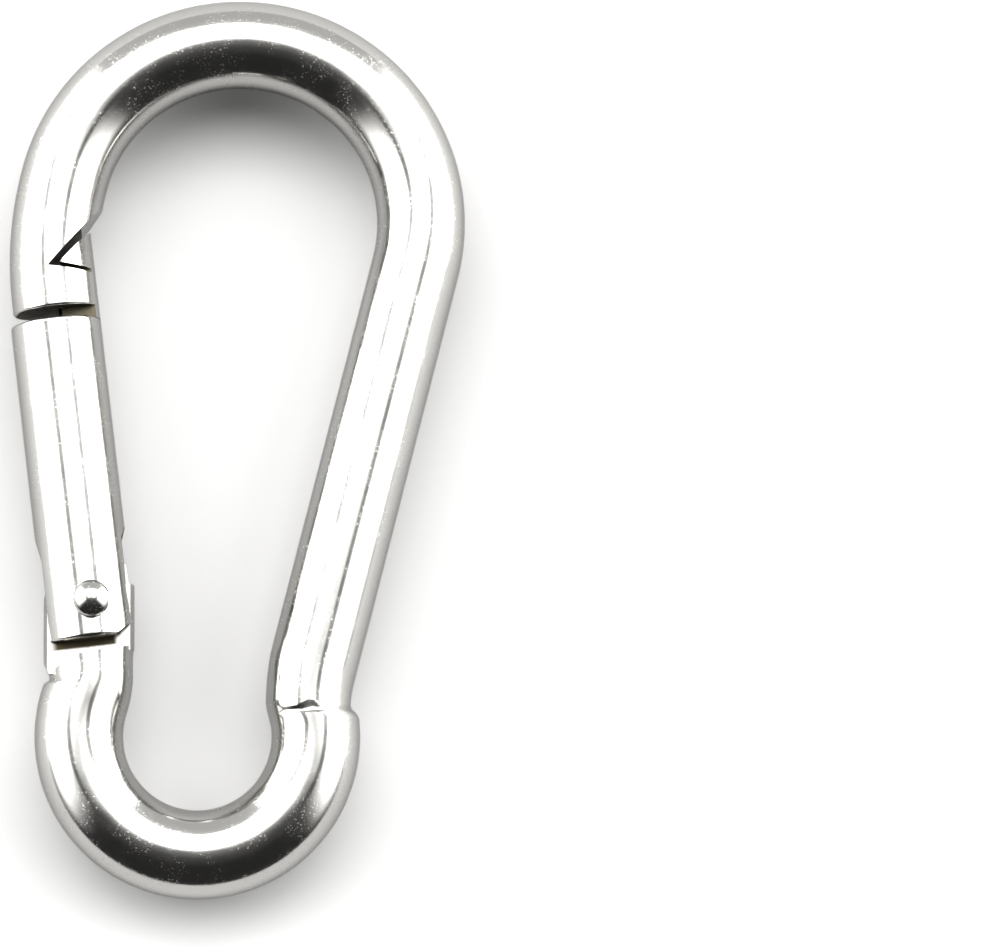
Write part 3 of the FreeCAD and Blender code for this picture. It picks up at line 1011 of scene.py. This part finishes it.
def metal(name, colour, roughness, pits, grain, strip=None):
    """Steel with fine pits and polishing lines. A strip beside the gate's end can get painted shadow: a very
    dark colour and more roughness, standing in for the shade in the gap below the gate's end.
    """
    material = bpy.data.materials.new(name)
    nodes = NodeTree.blank(material)
    place = nodes.add("ShaderNodeTexCoord").outputs["Object"]
    fine = nodes.sock("ShaderNodeTexNoise", {"Vector": place, "Scale": speckle_scale, "Detail": 2.0})
    cloudy = nodes.sock("ShaderNodeTexNoise", {"Vector": place, "Scale": cloud_scale, "Detail": 3.0})
    drawn = nodes.sock("ShaderNodeMapping", {"Vector": place, "Scale": line_scale})
    lines = nodes.sock("ShaderNodeTexNoise", {"Vector": drawn, "Scale": 1.0, "Detail": 2.0})
    spots = fine.step(0.57, 0.74) * cloudy.step(0.34, 0.62)
    height = lines * grain + fine * 0.16 - spots * pits
    bump = nodes.sock("ShaderNodeBump", {"Strength": 1.0, "Distance": relief, "Height": height})
    rough = roughness + cloudy.step(0.3, 0.75) * (roughness * 0.35) + spots * 0.25
    pit_colour = (*[c * 0.55 for c in colour], 1)
    tone = nodes.mix(spots * 0.35, (*colour, 1), pit_colour)
    # Painted shadow: beside the gate's end the tone is blended to the dark shadow colour and the roughness is
    # raised
    if strip:
        end, lean, shadow = strip
        beside = nodes.add("ShaderNodeMapping", {"Vector": place, "Location": end, "Rotation": (0, 0, lean),
                                                 "Scale": (MM, MM, MM)}, vector_type="TEXTURE")
        part = nodes.add("ShaderNodeSeparateXYZ", {0: beside.outputs[0]})
        x, y = (Sock(nodes, part.outputs[i]) for i in (0, 1))
        shadow_mask = y.step(-shadow_reach - shadow_fade, -shadow_reach)
        shadow_mask = shadow_mask * x.step(*shadow_left) * (1 - x.step(*shadow_right))
        tone = nodes.mix(shadow_mask, tone, (*shadow, 1))
        rough = rough + shadow_mask * (0.2 + 0.1 * lines.step(0.35, 0.6))
    shader = nodes.add("ShaderNodeBsdfPrincipled", {"Base Color": tone, "Metallic": 1.0, "Roughness": rough,
                                                    "Specular Tint": steel_tint, "Normal": bump})
    nodes.add("ShaderNodeOutputMaterial", {"Surface": shader.outputs[0]})
    return material


def paper_material(colour):
    """Pale floor with a faint grain."""
    material = bpy.data.materials.new("pale_floor")
    nodes = NodeTree.blank(material)
    place = nodes.add("ShaderNodeTexCoord").outputs["Object"]
    grain = nodes.sock("ShaderNodeTexNoise", {"Vector": place, "Scale": 900.0, "Detail": 4.0})
    bump = nodes.sock("ShaderNodeBump", {"Strength": 0.15, "Distance": 2 * relief, "Height": grain})
    shader = nodes.add("ShaderNodeBsdfPrincipled", {"Base Color": (*colour, 1), "Roughness": 0.75,
                                                    "Specular IOR Level": 0.2, "Normal": bump})
    nodes.add("ShaderNodeOutputMaterial", {"Surface": shader.outputs[0]})
    return material


def light_tent(light):
    """White light tent with a grey wall behind the crown, and a dark opening over the toe's side."""
    world = bpy.data.worlds.new("light_tent")
    bpy.context.scene.world = world
    nodes = NodeTree.blank(world)
    way = nodes.add("ShaderNodeSeparateXYZ", {0: nodes.add("ShaderNodeTexCoord").outputs["Generated"]})
    x, y, z = (Sock(nodes, way.outputs[i]) for i in range(3))
    height = z.op("MAXIMUM", 0.0001)
    along, across = y / height, abs(x) / height
    out = (along * along + across * across).op("SQRT")
    aside = (across * across + opening_tip ** 2).op("SQRT")
    turn = aside.op("ARCTAN2", opening_tip - along)
    horizon = (1 - z.step(*horizon_rise)) * (1 - turn.step(*horizon_turns))
    tent = turn.step(*opening_turns) * (1 - horizon_loss * horizon)
    wall = along.step(*wall_from) * (1 - (across / along).step(*wall_sides))
    seam = 1 - abs(across - (seam_across + seam_lean * along)).step(*seam_width)
    seam = seam * (1 - along.step(*seam_end))
    overhead = overhead_share + (1 - overhead_share) * out.step(*overhead_reach)
    white = light * overhead * (1 - seam) + seam_light * seam
    dark = dark_light
    for level, reach in (dark_near, dark_top):
        dark = dark + level * (1 - out.step(*reach))
    open_tent = tent * white + (1 - tent) * dark
    strength = wall * wall_light + (1 - wall) * open_tent
    glow = nodes.add("ShaderNodeBackground", {"Color": (1.0, 0.995, 0.985, 1), "Strength": strength})
    nodes.add("ShaderNodeOutputWorld", {"Surface": glow.outputs[0]})
    return world


def make_camera(studio):
    """Camera over the hook's middle, tilted towards the toe. The shift frames the hook at the left."""
    picture = Vector((1000, 947))
    hook_middle = Vector((237.5, 446.6))
    scale = 11.33
    low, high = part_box("hook_body")
    centre = (low + high) / 2
    back = Vector((0, -sin(studio.camera_tilt), cos(studio.camera_tilt)))
    data = bpy.data.cameras.new("camera")
    camera = bpy.data.objects.new("camera", data)
    bpy.context.scene.collection.objects.link(camera)
    camera.location = centre + back * studio.camera_distance
    camera.rotation_euler = (-back).to_track_quat("-Z", "Y").to_euler()
    data.sensor_width = 36
    data.lens = scale * studio.camera_distance / MM * data.sensor_width / picture.x
    data.shift_x = 0.5 - hook_middle.x / picture.x
    data.shift_y = (hook_middle.y - picture.y / 2) / picture.x
    data.clip_start, data.clip_end = 0.01, 10
    bpy.context.scene.camera = camera
    return camera


def settings():
    """Sizes of the bar, colours, and camera and light."""
    scene = bpy.context.scene
    return scene.snap_hook_bar, scene.snap_hook_finish, scene.snap_hook_studio


def steels():
    """The finishes, made once."""
    bar, finish, _ = settings()
    made = bpy.data.materials
    if "polished_steel" not in made:
        plan = Plan(bar)
        # Where the painted shadow on the tongue's flat starts: the gate's end, turned with the gate
        end = plan.to_frame @ plan.gate_place @ vec(0, -plan.gate_length)
        strip = (end, radians(plan.gate_lean), finish.gate_shadow)
        metal("polished_steel", finish.steel, roughness=0.12, pits=0.3, grain=0.05)
        metal("milled_steel", finish.milled, roughness=0.16, pits=0.4, grain=0.5, strip=strip)
        # Cut faces: unpolished, and painted dark as shade in the notch, slots and holes
        metal("sawn_steel_and_shade", finish.sawn_and_shade, roughness=0.4, pits=0.8, grain=1.5)
        metal("drawn_wire", finish.wire, roughness=0.25, pits=0.3, grain=0.6)
    return [made[name] for name in ("polished_steel", "milled_steel", "sawn_steel_and_shade", "drawn_wire")]


class HOOK_OT_bar(bpy.types.Operator):
    """Bend the hook's bar, cut its notch and mill its tongue"""
    bl_idname = "snap_hook.bar"
    bl_label = "Hook bar"

    def execute(self, context):
        plan = Plan(settings()[0])
        steel, milled, sawn_and_shade, _ = steels()
        body = make_hook_body(plan, steel, milled, sawn_and_shade)
        body.data.transform(plan.to_frame)
        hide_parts("hook_body")
        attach(body, "hook")
        return {"FINISHED"}


class HOOK_OT_gate(bpy.types.Operator):
    """Make the gate with its fork, bore and latch"""
    bl_idname = "snap_hook.gate"
    bl_label = "Gate"

    def execute(self, context):
        plan = Plan(settings()[0])
        steel, _, sawn_and_shade, _ = steels()
        gate = make_gate(plan, steel, sawn_and_shade)
        gate.data.transform(plan.to_frame)
        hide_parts("gate")
        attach(gate, "gate")
        return {"FINISHED"}


class HOOK_OT_rivet(bpy.types.Operator):
    """Make the rivet with its two domes"""
    bl_idname = "snap_hook.rivet"
    bl_label = "Rivet"

    def execute(self, context):
        plan = Plan(settings()[0])
        steel = steels()[0]
        rivet = make_rivet(plan, steel)
        rivet.data.transform(plan.to_frame)
        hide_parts("pivot_rivet")
        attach(rivet, "gate")
        return {"FINISHED"}


class HOOK_OT_spring(bpy.types.Operator):
    """Wind the spring and finish the plunger"""
    bl_idname = "snap_hook.spring"
    bl_label = "Spring and plunger"

    def execute(self, context):
        plan = Plan(settings()[0])
        wire = steels()[-1]
        spring = make_spring(plan, wire)
        spring.data.transform(plan.to_frame)
        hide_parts("gate_spring")
        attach(spring, "gate")
        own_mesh(spring)
        paint(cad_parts["spring_plunger"], wire)
        return {"FINISHED"}


class HOOK_OT_studio(bpy.types.Operator):
    """Lay the floor, light it and set the camera"""
    bl_idname = "snap_hook.studio"
    bl_label = "Studio"

    def execute(self, context):
        _, finish, studio = settings()
        bm = bmesh.new()
        bmesh.ops.create_grid(bm, x_segments=1, y_segments=1, size=2.0)
        mesh = bpy.data.meshes.new("floor")
        bm.to_mesh(mesh)
        bm.free()
        floor = link(mesh, "floor")
        mesh.materials.append(paper_material(finish.paper))
        light_tent(studio.light)
        make_camera(studio)
        context.scene.view_settings.view_transform = "Standard"
        return {"FINISHED"}


class HOOK_PT_panel(bpy.types.Panel):
    """Lists the hook's pieces in the order in which they are made"""
    bl_idname = "HOOK_PT_panel"
    bl_label = "Snap hook"
    bl_space_type = "VIEW_3D"
    bl_region_type = "UI"
    bl_category = "Snap hook"

    def draw(self, context):
        for group in settings():
            for name in group.__annotations__:
                self.layout.prop(group, name)
        for operator in OPERATORS:
            self.layout.operator(operator.bl_idname)


GROUPS = {"snap_hook_bar": BarSizes, "snap_hook_finish": FinishColours, "snap_hook_studio": StudioSizes}
OPERATORS = [HOOK_OT_bar, HOOK_OT_gate, HOOK_OT_rivet, HOOK_OT_spring, HOOK_OT_studio]


def register():
    for cls in list(GROUPS.values()) + OPERATORS + [HOOK_PT_panel]:
        bpy.utils.register_class(cls)
    for name, cls in GROUPS.items():
        setattr(bpy.types.Scene, name, PointerProperty(type=cls))


def unregister():
    for name in GROUPS:
        delattr(bpy.types.Scene, name)
    for cls in [HOOK_PT_panel] + OPERATORS[::-1] + list(GROUPS.values()):
        bpy.utils.unregister_class(cls)


def main():
    register()
    bpy.ops.snap_hook.bar()
    bpy.ops.snap_hook.gate()
    bpy.ops.snap_hook.rivet()
    bpy.ops.snap_hook.spring()
    bpy.ops.snap_hook.studio()


if __name__ == "__main__":
    main()
